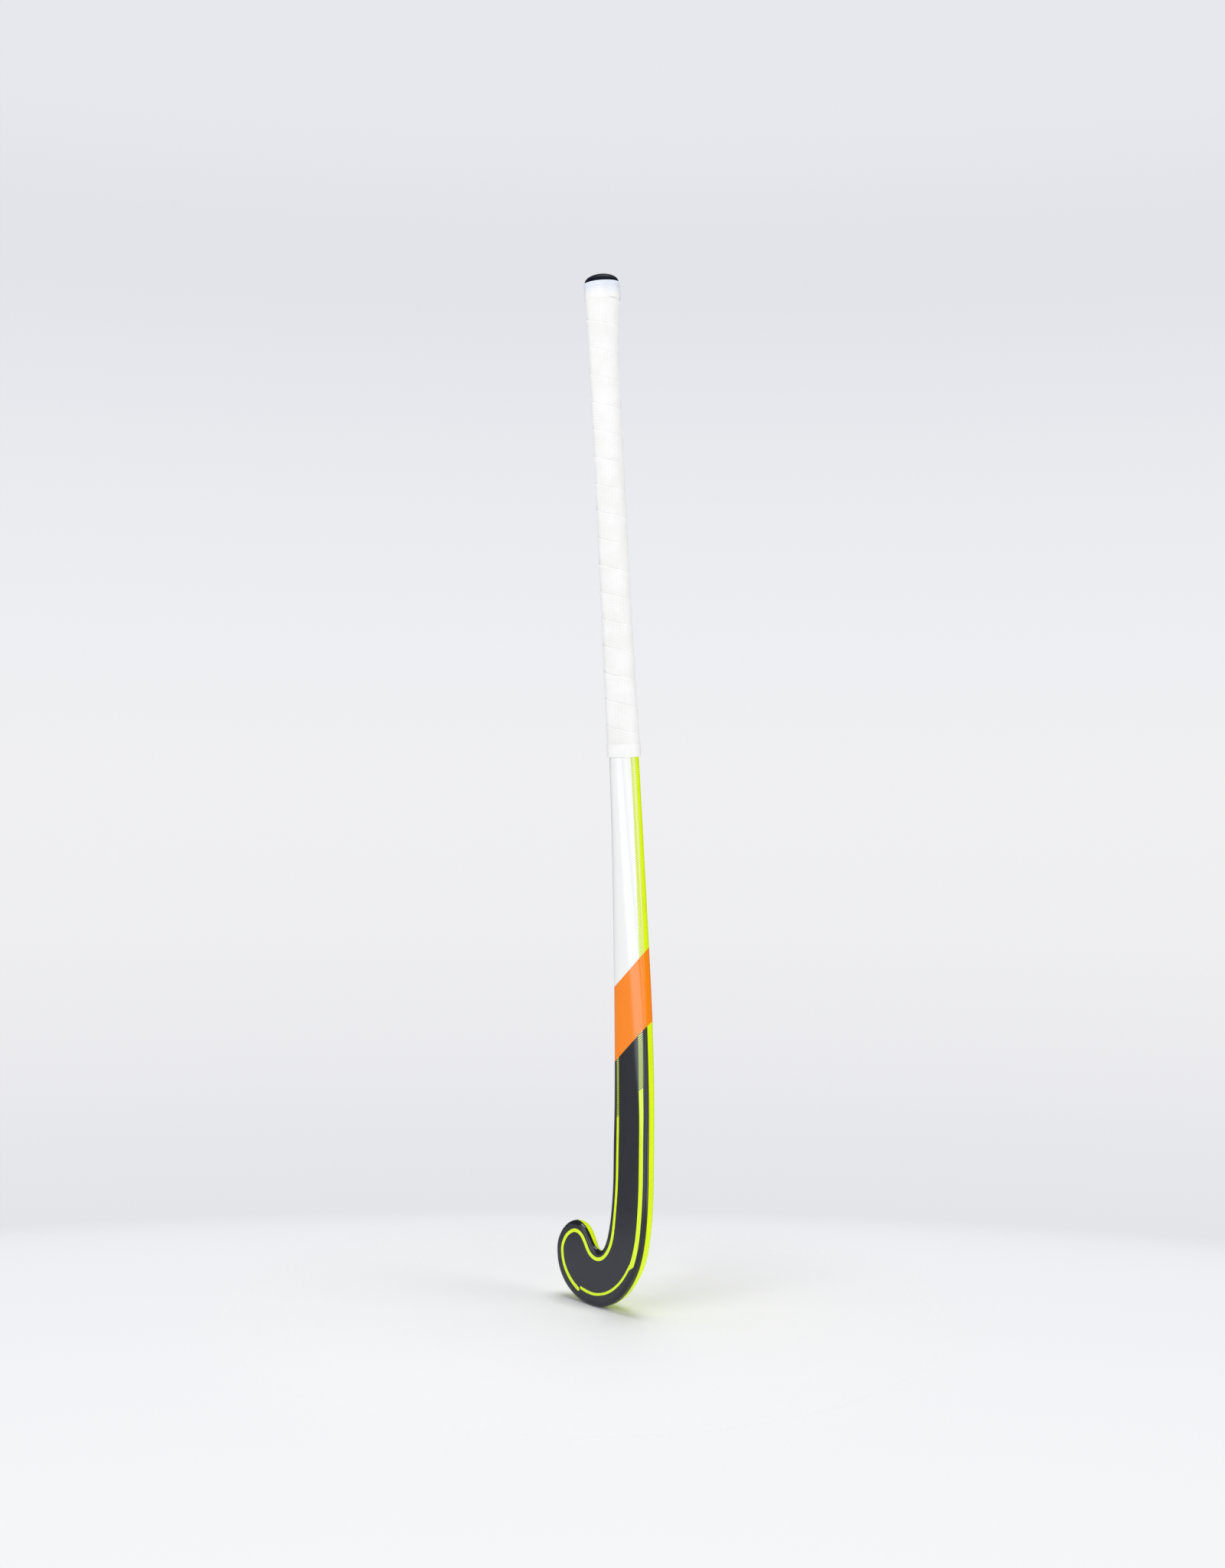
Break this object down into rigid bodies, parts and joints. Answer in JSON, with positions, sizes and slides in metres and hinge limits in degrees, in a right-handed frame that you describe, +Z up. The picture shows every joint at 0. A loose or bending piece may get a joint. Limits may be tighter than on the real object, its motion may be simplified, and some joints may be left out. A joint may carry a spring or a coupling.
{
  "type": "indoor hockey stick",
  "caption": "Indoor field hockey stick: slim bowed shaft, short hooked head with flat playing face and rounded back, wound cushion grip and butt cap.",
  "frame": {"origin": "centre of the bounding box's footprint, at the height of the sole", "axes": "+Z up along the shaft from the sole to the butt cap; the playing face looks along -Y and the rounded back along +Y; the toe points along -X and the heel along +X"},
  "size_m": [0.1212, 0.08, 0.9268],
  "materials": {
    "front_laminate": "satin anthracite lacquer over fibre laminate, with an orange block and a white shaft above it",
    "back_laminate": "glossy fluorescent yellow lacquer over fibre laminate",
    "heel_guard": "satin anthracite wear strip",
    "head_core": "dense filled foam, unpainted",
    "centre_rib": "raw fibre laminate",
    "toe_side_core": "light foam",
    "heel_side_core": "light foam",
    "handle_plug": "dense foam",
    "butt_cap": "near-black moulded rubber",
    "grip_wrap": "white soft perforated cushion tape",
    "finishing_tape": "white glossy tape",
    "top_band": "pale bluish translucent tape"
  },
  "bodies": {
    "root": {"front_laminate": "front_laminate", "back_laminate": "back_laminate", "heel_guard": "heel_guard", "head_core": "head_core", "centre_rib": "centre_rib", "toe_side_core": "toe_side_core", "heel_side_core": "heel_side_core", "handle_plug": "handle_plug", "butt_cap": "butt_cap", "grip_wrap": "grip_wrap", "finishing_tape": "finishing_tape", "top_band": "top_band"}
  },
  "joints": []
}
